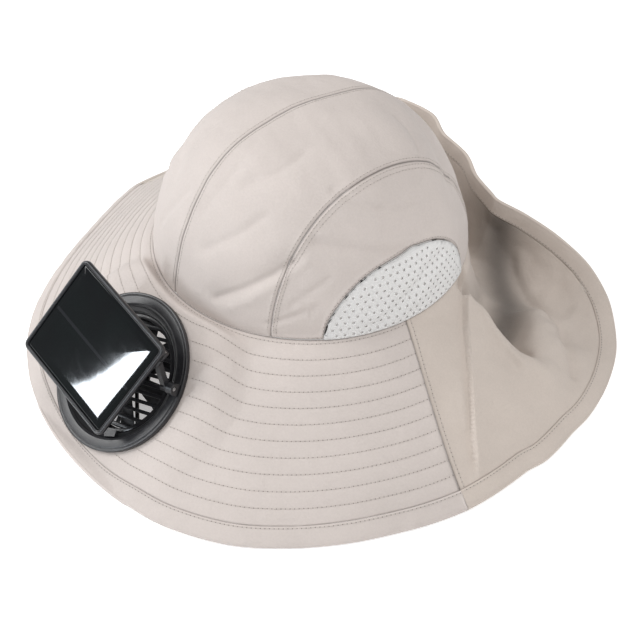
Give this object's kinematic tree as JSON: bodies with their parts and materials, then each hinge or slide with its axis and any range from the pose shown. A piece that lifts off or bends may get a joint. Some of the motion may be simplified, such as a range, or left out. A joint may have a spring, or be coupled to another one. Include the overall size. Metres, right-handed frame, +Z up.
{
  "type": "sun hat with solar fan",
  "caption": "Wide-brimmed cloth sun hat with a neck flap, mesh side vents, and a brim fan under a hinged solar panel.",
  "frame": {"origin": "middle of the hat's box, on the surface it lies on", "axes": "+Z up, -Y towards the front of the hat where the fan is, +X towards the wearer's left"},
  "size_m": [0.368, 0.338, 0.1552],
  "materials": {
    "crown_upper_left": "plain woven cloth",
    "crown_upper_right": "plain woven cloth",
    "crown_lower_left": "plain woven cloth",
    "crown_lower_right": "plain woven cloth",
    "vent_left": "open polyester mesh",
    "vent_right": "open polyester mesh",
    "brim": "quilted woven cloth",
    "brim_hem": "folded woven cloth",
    "neck_flap": "plain woven cloth",
    "flap_hem": "folded woven cloth",
    "fan_ring": "satin moulded",
    "fan_grille": "satin moulded",
    "fan_bowl": "fine texture",
    "fan_guard": "fine texture",
    "fan_motor": "plated",
    "fan_rotor": "moulded",
    "hinge_post": "satin moulded",
    "panel_arm": "satin moulded",
    "swivel_pin": "plated",
    "fold_pin": "plated",
    "panel_frame": "satin moulded",
    "solar_cell": "clear resin over a dark cell"
  },
  "bodies": {
    "hat": {"crown_upper_left": "crown_upper_left", "crown_upper_right": "crown_upper_right", "crown_lower_left": "crown_lower_left", "crown_lower_right": "crown_lower_right", "vent_left": "vent_left", "vent_right": "vent_right", "brim": "brim", "brim_hem": "brim_hem", "neck_flap": "neck_flap", "flap_hem": "flap_hem", "fan_ring": "fan_ring", "fan_grille": "fan_grille", "fan_bowl": "fan_bowl", "fan_guard": "fan_guard", "fan_motor": "fan_motor", "hinge_post": "hinge_post"},
    "rotor": {"fan_rotor": "fan_rotor"},
    "arm": {"panel_arm": "panel_arm", "swivel_pin": "swivel_pin", "fold_pin": "fold_pin"},
    "panel": {"panel_frame": "panel_frame", "solar_cell": "solar_cell"}
  },
  "joints": [
    {"name": "rotor_spin", "type": "hinge", "parent": "hat", "child": "rotor", "pos_m": [0.01196, -0.1269, 0.03663], "axis": [0.0676, -0.6432, 0.7627], "continuous": true},
    {"name": "panel_swivel", "type": "hinge", "parent": "hat", "child": "arm", "pos_m": [0.04761, -0.11678, 0.0475], "axis": [0.9212, 0.3338, 0.1999], "range_deg": [-20, 10]},
    {"name": "panel_fold", "type": "hinge", "parent": "arm", "child": "panel", "pos_m": [0.04285, -0.11709, 0.06302], "axis": [0.1246, 0.66, 0.7408], "range_deg": [-10, 30]}
  ]
}
